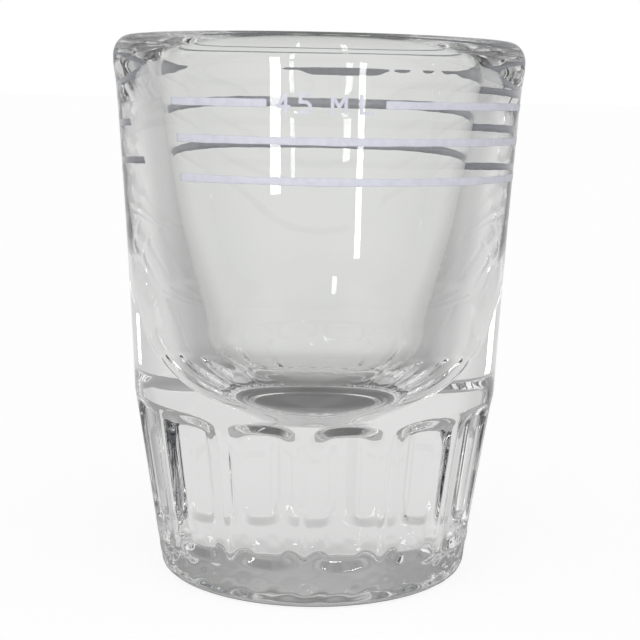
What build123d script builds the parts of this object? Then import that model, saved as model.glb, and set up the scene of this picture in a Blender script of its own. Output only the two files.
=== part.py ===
from build123d import *
import os
from math import atan2, cos, degrees, radians, sin

# Pressed whiskey glass with a thick fluted base and fired-enamel measure lines.
# Millimetres, +Z up. The origin is the centre of the foot, on the surface that the
# glass stands on, and the printed capacity mark faces -Y.

# ---- driving dimensions ------------------------------------------------------
height = 75.9
foot_radius = 22.0                  # lower cone, carried down to the standing plane
shoulder_radius = 26.0              # where the fluted base meets the plain wall
shoulder_height = 26.5
wall_mid_radius = 26.97             # the wall flares a little, so it is an arc
wall_mid_height = 46.6
wall_top_radius = 28.4
wall_top_height = 69.0

lip_radius = 28.85                  # widest point of the fire-polished lip
lip_widest_height = 73.1
lip_crest_radius = 26.55
lip_inner_radius = 25.55            # where the rounding turns down into the well
lip_inner_height = 75.28

well_floor_radius = 5.6             # small flat at the bottom of the well
well_floor_height = 24.0
well_cone_run = 2.0                 # the well's bottom falls 1 in 2 towards the flat
well_cone_fall = 1.0
well_cone_radius = 11.4             # shallow cone, then a turn up into the wall
well_cone_height = 26.9
well_turn_radius = 15.3
well_turn_height = 31.9
well_wall = [                       # the well opens faster again towards the lip
    (16.9, 38.0),
    (19.25, 48.0),
    (20.88, 57.0),
    (21.73, 62.0),
    (22.12, 64.0),
    (22.77, 67.0),
    (23.28, 69.0),
    (24.0, 71.5),
    (24.72, 73.5),
]

heel_height = 1.4                   # rounding between the foot and the side
bearing_outer_radius = 20.4         # the ring that the glass stands on
bearing_inner_radius = 18.2
punt_radius = 15.5                  # hollow under the base, inside the ring
punt_depth = 1.1

flute_count = 14
flute_phase = 10.0                  # centre of the flute nearest the mark, degrees
flute_depth = 0.87                  # at the middle of a flute, near its top
flute_floor_width = 5.2             # flat middle of a flute, between its two bevels
flute_half_angle = 11.7             # from a flute's middle to its land, degrees
flute_top_height = 24.5             # where the full section ends
flute_bottom_height = 6.9
flute_run_out = 1.4                 # height over which each end rises to the surface
flute_clearance = 2.0               # how far the cutter stands outside the glass

enamel_thickness = 0.06
line_width = 1.0
line_heights = {"upper": 67.1, "middle": 62.5, "lower": 57.5}
# The lines' ends, in degrees round from the front, positive towards +X.
line_starts = {"upper": -41.9, "middle": -40.3, "lower": -39.6}
line_ends = {"upper": 267.4, "middle": 269.8, "lower": 276.6}
gap_start = -13.3                   # break in the upper line, for the capacity mark
gap_end = 17.0

mark_height = 2.1                   # capital height of the capacity mark
mark_stroke = 0.42
mark_curve_room = 2.5               # more than the wall curves back over the mark

# ---- values worked out from them ----------------------------------------------
cone_slope = (shoulder_radius - foot_radius) / shoulder_height


def cone_radius(z):
    """Radius at a height of the cone that carries the flutes."""
    return foot_radius + cone_slope * z


def wall_arc_centre():
    """Centre (radius, height) of the arc that the outer wall follows."""
    ax, ay = shoulder_radius, shoulder_height
    bx, by = wall_mid_radius, wall_mid_height
    cx, cy = wall_top_radius, wall_top_height
    a2, b2, c2 = ax**2 + ay**2, bx**2 + by**2, cx**2 + cy**2
    doubled = 2 * (ax * (by - cy) + bx * (cy - ay) + cx * (ay - by))
    x = (a2 * (by - cy) + b2 * (cy - ay) + c2 * (ay - by)) / doubled
    y = (a2 * (cx - bx) + b2 * (ax - cx) + c2 * (bx - ax)) / doubled
    return x, y


def wall_radius(z):
    """Outer radius of the plain wall at a height. The arc is hollow towards the outside."""
    x, y = wall_arc_centre()
    arc_radius = ((x - shoulder_radius) ** 2 + (y - shoulder_height) ** 2) ** 0.5
    return x - (arc_radius**2 - (z - y) ** 2) ** 0.5


def radial_plane(angle):
    """Upright plane through the axis: local X outwards, local Y up.

    The angle is in degrees round from the front, positive towards +X."""
    azimuth = radians(angle - 90)
    return Plane(
        origin=(0, 0, 0),
        x_dir=(cos(azimuth), sin(azimuth), 0),
        z_dir=(sin(azimuth), -cos(azimuth), 0),
    )


# ---- glass body: the pressed blank ------------------------------------------------
with BuildPart() as blank:
    with BuildSketch(Plane.XZ):
        with BuildLine():
            Polyline(
                (0, punt_depth),
                (punt_radius, punt_depth),
                (bearing_inner_radius, 0),
                (bearing_outer_radius, 0),
            )
            Spline(
                (bearing_outer_radius, 0),
                (cone_radius(heel_height), heel_height),
                tangents=[(1, 0), (cone_slope, 1)],
            )
            Line((cone_radius(heel_height), heel_height), (shoulder_radius, shoulder_height))
            wall = ThreePointArc(
                (shoulder_radius, shoulder_height),
                (wall_mid_radius, wall_mid_height),
                (wall_top_radius, wall_top_height),
            )
            Spline(
                wall @ 1,
                (lip_radius, lip_widest_height),
                tangents=[wall % 1, (0, 1)],
            )
            EllipticalCenterArc(
                center=(lip_crest_radius, lip_widest_height),
                x_radius=lip_radius - lip_crest_radius,
                y_radius=height - lip_widest_height,
                start_angle=0,
                arc_size=90,
            )
            lip_inside = TangentArc(
                (lip_crest_radius, height),
                (lip_inner_radius, lip_inner_height),
                tangent=(-1, 0),
            )
            Spline(
                lip_inside @ 1,
                *reversed(well_wall),
                (well_turn_radius, well_turn_height),
                (well_cone_radius, well_cone_height),
                (well_floor_radius, well_floor_height),
                tangents=[lip_inside % 1, (-well_cone_run, -well_cone_fall)],
            )
            Polyline(
                (well_floor_radius, well_floor_height),
                (0, well_floor_height),
                (0, punt_depth),
            )
        make_face()
    revolve(axis=Axis.Z)

# ---- glass body: one flute's cutter -------------------------------------------------
# A flute is a flat floor between two bevels. Its section grows with the cone, and at each
# end its depth runs out to nothing, so the floor meets the surface in a short ramp.
cutter_sections = (
    (flute_bottom_height - flute_run_out, 0),
    (flute_bottom_height, flute_depth),
    (flute_top_height, flute_depth),
    (flute_top_height + flute_run_out, 0),
)


def flute_outline(z, depth):
    """Corners of the cutter at a height, symmetrical about local X."""
    surface = cone_radius(z)
    share = surface / cone_radius(flute_top_height)
    floor_x = surface - depth * share
    floor_y = flute_floor_width / 2 * share
    land_x = surface * cos(radians(flute_half_angle))
    land_y = surface * sin(radians(flute_half_angle))
    outside = surface + flute_clearance
    upper_half = [(floor_x, floor_y), (land_x, land_y), (outside, land_y)]
    return [(x, -y) for x, y in upper_half] + list(reversed(upper_half))


with BuildPart() as flute_cutter:
    for section_height, section_depth in cutter_sections:
        with BuildSketch(Plane.XY.offset(section_height)):
            with BuildLine():
                Polyline(*flute_outline(section_height, section_depth), close=True)
            make_face()
    loft(ruled=True)

# ---- glass body: blank less the flutes -----------------------------------------------
with BuildPart() as glass_body:
    add(blank.part)
    with PolarLocations(0, flute_count, start_angle=flute_phase - 90):
        add(flute_cutter.part, mode=Mode.SUBTRACT)


# ---- fired-enamel print -----------------------------------------------------------------
def enamel_face(centre_height, width):
    """Section of a print band: it lies on the wall and stands proud of it."""
    low = centre_height - width / 2
    high = centre_height + width / 2
    return Polyline(
        (wall_radius(low), low),
        (wall_radius(low) + enamel_thickness, low),
        (wall_radius(high) + enamel_thickness, high),
        (wall_radius(high), high),
        close=True,
    )


def enamel_band(centre_height, width, start, end):
    """Band of print round the wall, between two angles from the front."""
    with BuildPart() as band:
        with BuildSketch(radial_plane(start)):
            with BuildLine():
                enamel_face(centre_height, width)
            make_face()
        revolve(axis=Axis.Z, revolution_arc=end - start)
    return band.part


line_spans = {
    "upper_line_left": ("upper", line_starts["upper"], gap_start),
    "upper_line_right": ("upper", gap_end, line_ends["upper"]),
    "middle_line": ("middle", line_starts["middle"], line_ends["middle"]),
    "lower_line": ("lower", line_starts["lower"], line_ends["lower"]),
}
print_bands = {
    node: enamel_band(line_heights[name], line_width, start, end)
    for node, (name, start, end) in line_spans.items()
}

# The capacity mark is drawn with plain strokes. Each outline is in units of the mark's
# height, from its own lower left corner.
characters = {
    "4": ((0.5, 0), (0.5, 1), (0, 0.32), (0.7, 0.32)),
    "5": ((0.6, 1), (0.1, 1), (0.06, 0.6), (0.45, 0.6), (0.65, 0.42), (0.62, 0.14), (0.4, 0), (0, 0.03)),
    "M": ((0, 0), (0, 1), (0.4, 0.35), (0.8, 1), (0.8, 0)),
    "L": ((0, 1), (0, 0), (0.6, 0)),
}
mark_layout = (("4", -5.2), ("5", -2.5), ("M", 1.6), ("L", 5.2))

with BuildPart() as capacity_mark:
    mark_base = line_heights["upper"] - mark_height / 2
    with BuildSketch(Plane.XZ.offset(wall_radius(mark_base) - mark_curve_room)):
        for character, offset_x in mark_layout:
            outline = [
                Vector(offset_x + x * mark_height, mark_base + y * mark_height)
                for x, y in characters[character]
            ]
            for start, end in zip(outline, outline[1:]):
                stroke = end - start
                tilt = degrees(atan2(stroke.Y, stroke.X))
                with Locations(Location((start + end) / 2, (0, 0, tilt))):
                    SlotCenterToCenter(stroke.length, mark_stroke)
    extrude(amount=2 * mark_curve_room)
    add(
        enamel_band(line_heights["upper"], 2 * mark_height, gap_start, gap_end),
        mode=Mode.INTERSECT,
    )

# ---- write the parts --------------------------------------------------------------------
finished = {"glass_body": glass_body.part, "capacity_mark": capacity_mark.part}
finished.update(print_bands)
os.makedirs("parts", exist_ok=True)
for node, solid in finished.items():
    solid.label = node
    export_step(solid, f"parts/{node}.step")
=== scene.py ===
"""Pressed whiskey tumbler: the looks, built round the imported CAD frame, in metres."""
from math import atan2, cos, pi, radians, sin

import bpy
import numpy as np
from mathutils import Matrix, Vector


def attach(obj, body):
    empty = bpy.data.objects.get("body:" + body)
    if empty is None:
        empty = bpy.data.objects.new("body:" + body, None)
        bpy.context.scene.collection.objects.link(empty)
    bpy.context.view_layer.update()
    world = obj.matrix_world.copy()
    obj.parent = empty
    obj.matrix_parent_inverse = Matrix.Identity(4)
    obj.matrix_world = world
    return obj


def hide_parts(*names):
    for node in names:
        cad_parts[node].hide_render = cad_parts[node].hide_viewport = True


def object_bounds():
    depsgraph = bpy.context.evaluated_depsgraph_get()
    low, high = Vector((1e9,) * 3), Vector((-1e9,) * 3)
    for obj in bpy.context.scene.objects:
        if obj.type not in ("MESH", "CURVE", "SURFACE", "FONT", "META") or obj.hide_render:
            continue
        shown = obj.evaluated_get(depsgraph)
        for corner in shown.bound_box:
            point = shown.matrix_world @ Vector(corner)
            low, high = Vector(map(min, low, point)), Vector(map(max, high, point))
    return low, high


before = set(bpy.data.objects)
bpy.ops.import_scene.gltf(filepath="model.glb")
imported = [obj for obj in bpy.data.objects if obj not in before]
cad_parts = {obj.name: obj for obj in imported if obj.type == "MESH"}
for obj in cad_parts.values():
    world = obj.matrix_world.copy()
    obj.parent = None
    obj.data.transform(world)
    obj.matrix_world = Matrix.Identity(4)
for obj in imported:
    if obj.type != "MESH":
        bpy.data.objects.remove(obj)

cad_low, cad_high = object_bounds()
MM = 0.001

# ---- sizes of the glass, in millimetres, as the CAD part has them ---------------------
WIDEST = min(cad_high.x, cad_high.y) / MM
FOOT_RADIUS = 22.0
SHOULDER = (26.0, 26.5)             # radius, height
WALL_MID = (26.97, 46.6)
WALL_TOP = (28.4, 69.0)
LIP_WIDEST = (28.85, 73.1)
LIP_CREST = (26.55, 75.9)
LIP_INNER = (25.55, 75.28)
WELL_WALL = (
    (24.78, 73.5), (24.05, 71.5), (23.28, 69.0), (22.77, 67.0), (22.12, 64.0),
    (21.73, 62.0), (20.88, 57.0), (19.25, 48.0), (16.9, 38.0),
)
WELL_TURN = (15.3, 31.9)
WELL_CONE = (11.4, 26.9)
WELL_FLOOR = (5.6, 24.0)
HEEL_HEIGHT = 1.4
BEARING_OUTER = 20.4
BEARING_INNER = 18.2
PUNT_RADIUS = 15.5
PUNT_DEPTH = 1.1

FLUTES = 14
FLUTE_PHASE = 10.0                  # degrees round from the front
FLUTE_DEPTH = 0.87
FLUTE_FLOOR = 5.2
FLUTE_HALF_ANGLE = 11.7
FLUTE_TOP = 24.5
FLUTE_BOTTOM = 6.9
FLUTE_RUN_OUT = 1.4                 # height over which each end rises to the surface
FLUTE_CORNER = 0.8                  # how much lower a flute ends at its lands, for rounded corners
FLUTE_BLEND = 0.5                   # how much longer the bevels take to run out than the floor
BEVEL_START = 4.6                   # degrees from a flute's middle at which that begins
BEVEL_SPAN = 4.0                    # degrees over which it comes in
RUN_OUT_SOFTNESS = 0.08             # rounding where an end's ramp meets the full section
ENDS_SOFTNESS = 0.02                # rounding between the top ramp and the bottom one
SURFACE_SOFTNESS = 0.05             # rounding where a ramp meets the plain surface
KNURLS = 98                         # fine ridges moulded under the bearing ring
KNURL_DEPTH = 0.16
KNURL_INSIDE = 0.6                  # how far inside the ring the ridges begin
HEEL_RIPPLE = 0.13                  # depth of the ripples round the heel
EDGE_SOFTNESS = 0.045               # fire-polished edges are slightly round

ENAMEL_PROUD = 0.045
ENAMEL_SUNK = 0.03                  # fired enamel is fused into the wall
LINE_WIDTH = 1.0
LINES = {"upper": 67.1, "middle": 62.5, "lower": 57.5}
LINE_SPANS = {"upper": (-41.9, 267.4), "middle": (-40.3, 269.8), "lower": (-39.6, 276.6)}
GAP = (-13.3, 17.0)
BAND_STEP = 0.6                     # degrees between a printed band's sections

CONE_SLOPE = (SHOULDER[0] - FOOT_RADIUS) / SHOULDER[1]

# ---- how finely the glass is meshed ---------------------------------------------------
AZIMUTHS_PER_FLUTE = 36
AXIS_GAP = 0.3                      # radius of the innermost ring of vertices
HEEL_TOP = 5.0                      # heights between which the rows change spacing
LOWER_END = 7.4
UPPER_END = 23.8
WELL_STEPS = (5, 5, 6, 5, 6, 4, 7, 8, 7, 6, 8, 6)


# ---- glass surface ---------------------------------------------------------------------
def circle_through(a, b, c):
    """Centre and radius of the circle through three points."""
    m = np.array([[b[0] - a[0], b[1] - a[1]], [c[0] - a[0], c[1] - a[1]]]) * 2
    v = np.array([b[0]**2 + b[1]**2 - a[0]**2 - a[1]**2, c[0]**2 + c[1]**2 - a[0]**2 - a[1]**2])
    centre = np.linalg.solve(m, v)
    return centre, float(np.hypot(*(centre - np.array(a))))


WALL_CENTRE, WALL_ARC = circle_through(SHOULDER, WALL_MID, WALL_TOP)


def wall_radius(z):
    """Outer radius of the plain wall at a height."""
    return WALL_CENTRE[0] - np.sqrt(WALL_ARC**2 - (z - WALL_CENTRE[1])**2)


def cone_radius(z):
    """Radius of the cone that carries the flutes."""
    return FOOT_RADIUS + CONE_SLOPE * z


def curve(points, steps, start=None, end=None):
    """Smooth line through points, as a Hermite spline over chord lengths."""
    p = np.array(points, float)
    gaps = np.linalg.norm(np.diff(p, axis=0), axis=1)
    slopes = np.empty_like(p)
    slopes[1:-1] = (p[2:] - p[:-2]) / (gaps[1:] + gaps[:-1])[:, None]
    slopes[0] = (p[1] - p[0]) / gaps[0] if start is None else np.array(start) / np.hypot(*start)
    slopes[-1] = (p[-1] - p[-2]) / gaps[-1] if end is None else np.array(end) / np.hypot(*end)
    out = []
    for i, gap in enumerate(gaps):
        t = np.linspace(0, 1, steps[i], endpoint=False)[:, None]
        out.append(
            (2 * t**3 - 3 * t**2 + 1) * p[i] + (t**3 - 2 * t**2 + t) * gap * slopes[i]
            + (3 * t**2 - 2 * t**3) * p[i + 1] + (t**3 - t**2) * gap * slopes[i + 1]
        )
    out.append(p[-1:])
    return np.vstack(out)


def arc_from(start, tangent, end, steps):
    """Circular arc from a point with a direction to another point."""
    start, end = np.array(start, float), np.array(end, float)
    tangent = np.array(tangent, float) / np.hypot(*tangent)
    normal = np.array([-tangent[1], tangent[0]])
    chord = end - start
    radius = (chord @ chord) / (2 * (normal @ chord))
    centre = start + radius * normal
    a0 = atan2(*(start - centre)[::-1])
    a1 = atan2(*(end - centre)[::-1])
    if radius > 0 and a1 < a0:
        a1 += 2 * pi
    angles = np.linspace(a0, a1, steps)
    points = centre + abs(radius) * np.stack([np.cos(angles), np.sin(angles)], axis=1)
    turn = angles[-1] + pi / 2
    return points, (cos(turn), sin(turn))


def soft_max(a, b, k):
    """The larger of two values, with the corner between them rounded."""
    return 0.5 * (a + b + np.sqrt((a - b)**2 + k * k))


def soft_min(a, b, k):
    """The smaller of two values, with the corner between them rounded."""
    return 0.5 * (a + b - np.sqrt((a - b)**2 + k * k))


def fluted_radius(azimuth, z):
    """Radius of the fluted base. azimuth is in degrees round from the front."""
    plain = cone_radius(z)
    pitch = 360 / FLUTES
    off = np.abs((azimuth - FLUTE_PHASE + pitch / 2) % pitch - pitch / 2)
    delta = np.radians(off)
    top = cone_radius(FLUTE_TOP)
    share = plain / top
    half = radians(FLUTE_HALF_ANGLE)
    land = np.array([top * cos(half), top * sin(half)])
    edge = np.array([top - FLUTE_DEPTH, FLUTE_FLOOR / 2])
    along = (land - edge) / np.hypot(*(land - edge))
    normal = np.array([along[1], -along[0]])
    floor = edge[0] * share / np.cos(delta)
    bevel = (edge @ normal) * share / (normal[0] * np.cos(delta) + normal[1] * np.sin(delta))
    section = soft_min(plain, soft_max(floor, bevel, EDGE_SOFTNESS), EDGE_SOFTNESS)
    drop = FLUTE_CORNER * (off / FLUTE_HALF_ANGLE)**2
    bevelled = np.clip((off - BEVEL_START) / BEVEL_SPAN, 0, 1)
    run = FLUTE_RUN_OUT + FLUTE_BLEND * bevelled**2 * (3 - 2 * bevelled)
    above = FLUTE_TOP + FLUTE_RUN_OUT - drop - z
    below = z - (FLUTE_BOTTOM - FLUTE_RUN_OUT + drop)
    upper = soft_min(above / run, 1, RUN_OUT_SOFTNESS)
    lower = soft_min(below / run, 1, RUN_OUT_SOFTNESS)
    left = soft_max(soft_min(upper, lower, ENDS_SOFTNESS), 0, SURFACE_SOFTNESS)
    return plain - (plain - section) * np.minimum(left, 1)


def glass_profile():
    """Points (radius, height) from under the foot, up the outside, over the lip and down the well."""
    heel = curve(
        [(BEARING_OUTER, 0), (cone_radius(HEEL_HEIGHT), HEEL_HEIGHT)], [8], (1, 0), (CONE_SLOPE, 1)
    )
    under = np.vstack([
        np.stack([np.linspace(AXIS_GAP, PUNT_RADIUS, 10), np.full(10, PUNT_DEPTH)], axis=1),
        curve([(PUNT_RADIUS, PUNT_DEPTH), (BEARING_INNER, 0)], [8], (1, 0), (1, 0))[1:],
        np.stack([np.linspace(BEARING_INNER, BEARING_OUTER, 8)[1:-1], np.zeros(6)], axis=1),
    ])
    fluted_z = np.concatenate([
        np.linspace(HEEL_HEIGHT, HEEL_TOP, 10)[1:-1],
        np.linspace(HEEL_TOP, LOWER_END, 11)[:-1],
        np.linspace(LOWER_END, UPPER_END, 12)[:-1],
        np.linspace(UPPER_END, SHOULDER[1], 13),
    ])
    fluted = np.stack([cone_radius(fluted_z), fluted_z], axis=1)
    wall_z = np.linspace(SHOULDER[1], WALL_TOP[1], 22)[1:]
    wall = np.stack([wall_radius(wall_z), wall_z], axis=1)
    up = wall[-1] - wall[-2]
    flare = curve([WALL_TOP, LIP_WIDEST], [5], up, (0, 1))[1:-1]
    turn = np.linspace(0, pi / 2, 10)
    crest = np.stack([
        LIP_CREST[0] + (LIP_WIDEST[0] - LIP_CREST[0]) * np.cos(turn),
        LIP_WIDEST[1] + (LIP_CREST[1] - LIP_WIDEST[1]) * np.sin(turn),
    ], axis=1)
    inside, down = arc_from(LIP_CREST, (-1, 0), LIP_INNER, 8)
    well_points = [LIP_INNER, *WELL_WALL, WELL_TURN, WELL_CONE, WELL_FLOOR]
    well = curve(well_points, WELL_STEPS, down, (-2, -1))
    floor_r = np.linspace(WELL_FLOOR[0], AXIS_GAP, 6)[1:]
    floor = np.stack([floor_r, np.full(5, WELL_FLOOR[1])], axis=1)
    return np.vstack([under, heel, fluted, wall, flare, crest, inside[1:], well[1:], floor])


def waviness(azimuth, z, inside):
    """The slow unevenness of pressed glass, in millimetres."""
    a = np.radians(azimuth)
    if inside:
        return 0.014 * np.sin(3 * a + 0.09 * z + 1.0) + 0.008 * np.sin(7 * a - 0.13 * z + 2.2)
    return 0.008 * np.sin(2 * a + 0.07 * z + 0.4) + 0.004 * np.sin(5 * a - 0.11 * z + 4.0)


def knurl(azimuth, r):
    """How far the ridged ring under the foot is hollowed, in millimetres."""
    width = BEARING_OUTER - BEARING_INNER + KNURL_INSIDE
    across = np.clip((r - BEARING_INNER + KNURL_INSIDE) / width, 0, 1)
    return KNURL_DEPTH * sin(pi * across) * (0.5 - 0.5 * np.cos(np.radians(azimuth) * KNURLS))


def heel_ripple(azimuth, z):
    """Chill ripples that the mould leaves round the heel, in millimetres inwards."""
    a = np.radians(azimuth)
    swell = 0.5 + 0.3 * np.sin(23 * a + 1.9 * z) + 0.2 * np.sin(41 * a - 2.6 * z + 1.3)
    share = sin(pi * z / (FLUTE_BOTTOM - FLUTE_RUN_OUT))
    return HEEL_RIPPLE * share * swell


def add_mesh(name, vertices, faces):
    """New smooth mesh object from millimetre vertices."""
    mesh = bpy.data.meshes.new(name)
    mesh.from_pydata((np.asarray(vertices) * MM).tolist(), [], faces)
    mesh.validate()
    mesh.polygons.foreach_set("use_smooth", [True] * len(mesh.polygons))
    mesh.update()
    piece = bpy.data.objects.new(name, mesh)
    bpy.context.scene.collection.objects.link(piece)
    return piece


def azimuth_samples():
    """Azimuths in degrees, evenly spaced and the same within every flute."""
    pitch = 360 / FLUTES
    one = pitch * np.linspace(-0.5, 0.5, AZIMUTHS_PER_FLUTE, endpoint=False)
    return (np.arange(FLUTES)[:, None] * pitch + one[None, :]).ravel() + FLUTE_PHASE


def make_glass():
    """The whole glass as one closed mesh, its profile turned round the axis."""
    profile = glass_profile()
    azimuths = azimuth_samples()
    lip_at = int(np.argmax(profile[:, 1]))
    rows = []
    for index, (r, z) in enumerate(profile):
        radii = np.full(len(azimuths), r)
        inside = index > lip_at
        if not inside and HEEL_HEIGHT < z <= SHOULDER[1] and r > BEARING_OUTER:
            radii = fluted_radius(azimuths, z)
        free = 1.0
        if r < WELL_FLOOR[0] or z > LIP_WIDEST[1] or z < HEEL_HEIGHT or SHOULDER[1] > z and not inside:
            free = 0.0
        radii = np.minimum(radii + free * waviness(azimuths, z, inside), WIDEST)
        angle = np.radians(azimuths - 90)
        if not inside and 0 < z < FLUTE_BOTTOM - FLUTE_RUN_OUT:
            radii = radii - heel_ripple(azimuths, z)
        heights = np.full_like(radii, z)
        if z < PUNT_DEPTH / 2 and r <= BEARING_OUTER:
            heights = heights + knurl(azimuths, r)
        rows.append(np.stack([radii * np.cos(angle), radii * np.sin(angle), heights], 1))
    n = len(azimuths)
    vertices = np.vstack([*rows, [[0, 0, PUNT_DEPTH]], [[0, 0, WELL_FLOOR[1]]]])
    faces = []
    for i in range(len(rows) - 1):
        for j in range(n):
            k = (j + 1) % n
            faces.append((i * n + j, i * n + k, (i + 1) * n + k, (i + 1) * n + j))
    bottom = len(rows) * n
    last = (len(rows) - 1) * n
    for j in range(n):
        k = (j + 1) % n
        faces.append((bottom, k, j))
        faces.append((bottom + 1, last + j, last + k))
    return add_mesh("glass", vertices, faces)


# ---- enamel ----------------------------------------------------------------------------
def make_band(name, centre, start, end, phase):
    """Printed band round the wall, with the slightly uneven edge of a screen print."""
    count = int((end - start) / BAND_STEP) + 2
    azimuths = np.linspace(start, end, count)
    angle = np.radians(azimuths - 90)
    edge = 0.025 * np.sin(9.0 * angle + phase) + 0.018 * np.sin(31.0 * angle + 2 * phase)
    half = LINE_WIDTH / 2
    across = np.array([-1, -0.92, -0.75, 0, 0.75, 0.92, 1])
    lift = np.array([0, 0.7, 1, 0.9, 1, 0.7, 0])
    loop = [(a, ENAMEL_PROUD * h) for a, h in zip(across, lift)]
    loop += [(1, -ENAMEL_SUNK), (-1, -ENAMEL_SUNK)]
    rows = []
    for a, h in loop:
        z = centre + a * (half + edge)
        r = wall_radius(z) + h
        rows.append(np.stack([r * np.cos(angle), r * np.sin(angle), z], 1))
    m = len(loop)
    vertices = np.vstack(rows)
    faces = []
    for i in range(m):
        k = (i + 1) % m
        for j in range(count - 1):
            faces.append((i * count + j, i * count + j + 1, k * count + j + 1, k * count + j))
    faces.append([i * count for i in range(m)])
    faces.append([i * count + count - 1 for i in reversed(range(m))])
    return add_mesh(name, vertices, faces)


# ---- materials ---------------------------------------------------------------------------
def new_material(name):
    """New node material, with its tree and its Principled shader."""
    material = bpy.data.materials.new(name)
    material.use_nodes = True
    tree = material.node_tree
    return material, tree, tree.nodes["Principled BSDF"]


def noise(tree, scale, detail, rough=0.5, stretch=(1, 1, 1)):
    """Noise texture in object coordinates. scale is per metre."""
    coordinates = tree.nodes.new("ShaderNodeTexCoord")
    mapping = tree.nodes.new("ShaderNodeMapping")
    mapping.inputs["Scale"].default_value = stretch
    texture = tree.nodes.new("ShaderNodeTexNoise")
    texture.inputs["Scale"].default_value = scale
    texture.inputs["Detail"].default_value = detail
    texture.inputs["Roughness"].default_value = rough
    tree.links.new(coordinates.outputs["Object"], mapping.inputs["Vector"])
    tree.links.new(mapping.outputs["Vector"], texture.inputs["Vector"])
    return texture


def ramp(tree, source, stops):
    """Colour ramp over a texture's factor. stops are (position, colour)."""
    node = tree.nodes.new("ShaderNodeValToRGB")
    elements = node.color_ramp.elements
    while len(elements) > 1:
        elements.remove(elements[-1])
    elements[0].position, elements[0].color = stops[0][0], (*stops[0][1], 1)
    for position, colour in stops[1:]:
        elements.new(position).color = (*colour, 1)
    tree.links.new(source.outputs["Fac"], node.inputs["Fac"])
    return node


def glass_material():
    """Clear soda-lime glass: a faint grey-green tint, and the slow ripple of a pressing."""
    material, tree, shader = new_material("clear_glass")
    shader.inputs["Roughness"].default_value = 0.0
    shader.inputs["IOR"].default_value = 1.52
    shader.inputs["Transmission Weight"].default_value = 1.0
    tint = ramp(tree, noise(tree, 90, 2), [(0.3, (0.948, 0.956, 0.944)), (0.7, (0.966, 0.97, 0.962))])
    tree.links.new(tint.outputs["Color"], shader.inputs["Base Color"])
    ripple = noise(tree, 260, 1.5, stretch=(1, 1, 0.35))
    bump = tree.nodes.new("ShaderNodeBump")
    bump.inputs["Strength"].default_value = 0.025
    bump.inputs["Distance"].default_value = 0.0002
    tree.links.new(ripple.outputs["Fac"], bump.inputs["Height"])
    tree.links.new(bump.outputs["Normal"], shader.inputs["Normal"])
    return material


def enamel_material():
    """Fired white enamel, thin enough to vary a little, with a fine grain."""
    material, tree, shader = new_material("white_enamel")
    shader.inputs["Roughness"].default_value = 0.42
    shader.inputs["IOR"].default_value = 1.5
    shade = ramp(tree, noise(tree, 900, 4, 0.6), [(0.3, (0.66, 0.67, 0.76)), (0.7, (0.76, 0.77, 0.85))])
    tree.links.new(shade.outputs["Color"], shader.inputs["Base Color"])
    grain = noise(tree, 5200, 2)
    bump = tree.nodes.new("ShaderNodeBump")
    bump.inputs["Strength"].default_value = 0.25
    bump.inputs["Distance"].default_value = 0.00003
    tree.links.new(grain.outputs["Fac"], bump.inputs["Height"])
    tree.links.new(bump.outputs["Normal"], shader.inputs["Normal"])
    return material


# ---- pieces --------------------------------------------------------------------------------
def dress(piece, material, slot, *nodes):
    """Give a piece its material and its body, and hide the CAD nodes that it stands for. The slot argument
    is not used.
    """
    piece.data.materials.clear()
    piece.data.materials.append(material)
    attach(piece, "root")
    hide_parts(*nodes)


clear_glass = glass_material()
white_enamel = enamel_material()
dress(make_glass(), clear_glass, "clear_glass", "glass_body")
for name, level, start, end, phase in (
    ("upper_line_left", "upper", LINE_SPANS["upper"][0], GAP[0], 0.3),
    ("upper_line_right", "upper", GAP[1], LINE_SPANS["upper"][1], 1.1),
    ("middle_line", "middle", *LINE_SPANS["middle"], 2.0),
    ("lower_line", "lower", *LINE_SPANS["lower"], 2.9),
):
    band = make_band(name + "_print", LINES[level], start, end, phase)
    dress(band, white_enamel, "white_enamel", name)

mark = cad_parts["capacity_mark"]
mark.data.materials.clear()
mark.data.materials.append(white_enamel)

# ---- camera ---------------------------------------------------------------------------------
EYE_DISTANCE = 207.8
EYE_HEIGHT = 67.95
PITCH = 0.1522
YAW = 0.0311                        # the lens points a little to the right of the glass
ROLL = 0.0200
LENS = 81.45
LENS_SHIFT = -0.0636

camera_data = bpy.data.cameras.new("camera")
camera_data.lens = LENS
camera_data.sensor_width = 36
camera_data.shift_x = LENS_SHIFT
camera_data.clip_start = 0.005
camera = bpy.data.objects.new("camera", camera_data)
bpy.context.scene.collection.objects.link(camera)
look = (
    Matrix.Rotation(-YAW, 4, "Z") @ Matrix.Rotation(pi / 2 - PITCH, 4, "X") @ Matrix.Rotation(ROLL, 4, "Z")
)
camera.matrix_world = Matrix.Translation((0, -EYE_DISTANCE * MM, EYE_HEIGHT * MM)) @ look
bpy.context.scene.camera = camera


# ---- floor, lights and surroundings ------------------------------------------------------------
FLOOR_HALF = 40000.0                # millimetres
FLOOR_CLEARANCE = 0.02              # millimetres under the foot, so the two faces don't coincide
FLOOR_PALE = 0.3
FLOOR_DIRECT = 0.82
# Through the glass, the floor's emission carries a painted shadow: it goes by distance from a dark spot
# under the front of the foot, and fades towards the sides. Each stop is (share of the reach or of |X|,
# brightness).
FLOOR_PAINTED_SHADOW_FORWARD = 22.0           # millimetres from the axis towards -Y
FLOOR_REACH = 400.0                 # millimetres from that spot at which the painted shadow has faded and the brightness levels off
FLOOR_GLOW_WITH_PAINTED_SHADOW = ((0.0, 0.05), (0.07, 0.14), (0.115, 0.42), (0.2, 0.58), (0.45, 0.60), (1.0, 0.60))
FLOOR_SIDES = ((0.0, 1.0), (0.5, 1.0), (0.85, 0.68), (1.0, 0.5))
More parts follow.
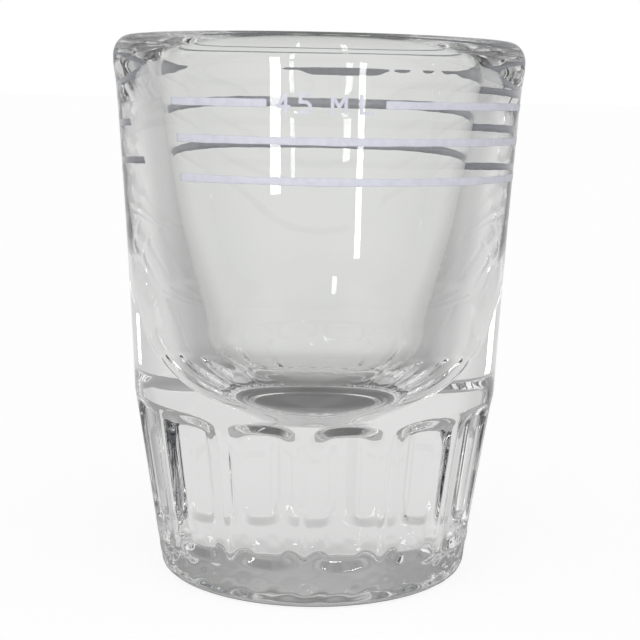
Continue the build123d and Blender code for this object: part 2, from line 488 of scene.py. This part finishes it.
# Through the glass, the room's brightness from the front (0) to the back (1), and from the
# horizon (0) to overhead (1). The two are multiplied.
ROOM_AROUND = ((0.0, 1.0), (0.07, 1.05), (0.35, 1.0), (0.55, 0.75), (0.8, 0.30), (0.92, 0.34), (1.0, 0.46))
ROOM_UPWARD = ((0.0, 1.0), (0.35, 1.0), (0.75, 0.7), (1.0, 0.5))


def stops_ramp(tree, source, stops):
    """Grey ramp over a 0 to 1 value. stops are (position, brightness)."""
    node = tree.nodes.new("ShaderNodeValToRGB")
    node.color_ramp.interpolation = "EASE"
    elements = node.color_ramp.elements
    elements[0].position, elements[0].color = stops[0][0], (stops[0][1],) * 3 + (1,)
    elements[1].position, elements[1].color = stops[-1][0], (stops[-1][1],) * 3 + (1,)
    for position, value in stops[1:-1]:
        elements.new(position).color = (value, value, value, 1)
    tree.links.new(source, node.inputs["Fac"])
    return node.outputs["Color"]


def seen_directly(tree, direct, otherwise):
    """Value that is one thing to the camera and another through or off the glass."""
    path = tree.nodes.new("ShaderNodeLightPath")
    mix = tree.nodes.new("ShaderNodeMix")
    mix.data_type = "FLOAT"
    tree.links.new(path.outputs["Is Camera Ray"], mix.inputs["Factor"])
    tree.links.new(otherwise, mix.inputs["A"])
    mix.inputs["B"].default_value = direct
    return mix.outputs["Result"]


def make_floor():
    """Pale table: white to the camera, and with a painted shadow, darker near the foot, as seen through
    the glass.
    """
    half = FLOOR_HALF
    corners = [(-half, -half, 0), (half, -half, 0), (half, half, 0), (-half, half, 0)]
    floor = add_mesh("floor", corners, [(0, 1, 2, 3)])
    material, tree, shader = new_material("floor")
    shader.inputs["Roughness"].default_value = 0.9
    shader.inputs["Specular IOR Level"].default_value = 0.0
    shader.inputs["Base Color"].default_value = (FLOOR_PALE, FLOOR_PALE, FLOOR_PALE, 1)
    shader.inputs["Emission Color"].default_value = (1, 1, 1, 1)
    coordinates = tree.nodes.new("ShaderNodeTexCoord")
    away = tree.nodes.new("ShaderNodeVectorMath")
    away.operation = "DISTANCE"
    away.inputs[1].default_value = (0, -FLOOR_PAINTED_SHADOW_FORWARD * MM, 0)
    tree.links.new(coordinates.outputs["Object"], away.inputs[0])
    reach = tree.nodes.new("ShaderNodeMapRange")
    reach.inputs["From Max"].default_value = FLOOR_REACH * MM
    tree.links.new(away.outputs["Value"], reach.inputs["Value"])
    # painted shadow: through the glass, the floor's emission is darker near the front of the foot
    shadowed_glow = stops_ramp(tree, reach.outputs["Result"], FLOOR_GLOW_WITH_PAINTED_SHADOW)
    bearing = tree.nodes.new("ShaderNodeVectorMath")
    bearing.operation = "NORMALIZE"
    tree.links.new(coordinates.outputs["Object"], bearing.inputs[0])
    parts = tree.nodes.new("ShaderNodeSeparateXYZ")
    tree.links.new(bearing.outputs["Vector"], parts.inputs["Vector"])
    sideways = tree.nodes.new("ShaderNodeMath")
    sideways.operation = "ABSOLUTE"
    tree.links.new(parts.outputs["X"], sideways.inputs[0])
    fade = stops_ramp(tree, sideways.outputs["Value"], FLOOR_SIDES)
    seen = tree.nodes.new("ShaderNodeMath")
    seen.operation = "MULTIPLY"
    tree.links.new(shadowed_glow, seen.inputs[0])
    tree.links.new(fade, seen.inputs[1])
    tree.links.new(
        seen_directly(tree, FLOOR_DIRECT, seen.outputs["Value"]), shader.inputs["Emission Strength"]
    )
    floor.data.materials.append(material)
    floor.location.z = -FLOOR_CLEARANCE * MM


def make_card(name, azimuth, distance, bottom, top, width, strength):
    """Softbox facing the glass, in millimetres. azimuth is in degrees from -Y, positive towards +X."""
    a = radians(azimuth)
    centre = Vector((sin(a) * distance, -cos(a) * distance, (bottom + top) / 2)) * MM
    data = bpy.data.lights.new(name, "AREA")
    data.shape = "RECTANGLE"
    data.size = width * MM
    data.size_y = (top - bottom) * MM
    data.energy = strength * data.size * data.size_y * pi
    light = bpy.data.objects.new(name, data)
    bpy.context.scene.collection.objects.link(light)
    light.location = centre
    aim = Vector((0, 0, centre.z)) - centre
    light.rotation_euler = aim.to_track_quat("-Z", "Y").to_euler()
    light.visible_camera = False


def make_world():
    """White to the camera. Through the glass, bright at the front and sides and grey behind."""
    world = bpy.data.worlds.new("studio")
    bpy.context.scene.world = world
    world.use_nodes = True
    tree = world.node_tree
    tree.nodes.clear()
    out = tree.nodes.new("ShaderNodeOutputWorld")
    background = tree.nodes.new("ShaderNodeBackground")
    background.inputs["Color"].default_value = (1, 1, 1, 1)
    coordinates = tree.nodes.new("ShaderNodeTexCoord")
    parts = tree.nodes.new("ShaderNodeSeparateXYZ")
    tree.links.new(coordinates.outputs["Generated"], parts.inputs["Vector"])
    depth = tree.nodes.new("ShaderNodeMapRange")
    depth.inputs["From Min"].default_value = -1.0
    tree.links.new(parts.outputs["Y"], depth.inputs["Value"])
    around = stops_ramp(tree, depth.outputs["Result"], ROOM_AROUND)
    overhead = stops_ramp(tree, parts.outputs["Z"], ROOM_UPWARD)
    both = tree.nodes.new("ShaderNodeMath")
    both.operation = "MULTIPLY"
    tree.links.new(around, both.inputs[0])
    tree.links.new(overhead, both.inputs[1])
    tree.links.new(seen_directly(tree, 1.0, both.outputs["Value"]), background.inputs["Strength"])
    tree.links.new(background.outputs["Background"], out.inputs["Surface"])


make_floor()
make_world()
make_card("softbox_left", azimuth=-22.3, distance=215, bottom=20, top=64, width=20, strength=14)
make_card("softbox_right", azimuth=21.5, distance=215, bottom=6, top=46, width=12, strength=14)

scene = bpy.context.scene
scene.view_settings.view_transform = "Standard"
scene.cycles.max_bounces = 24
scene.cycles.transmission_bounces = 24
scene.cycles.glossy_bounces = 12
scene.cycles.transparent_max_bounces = 12
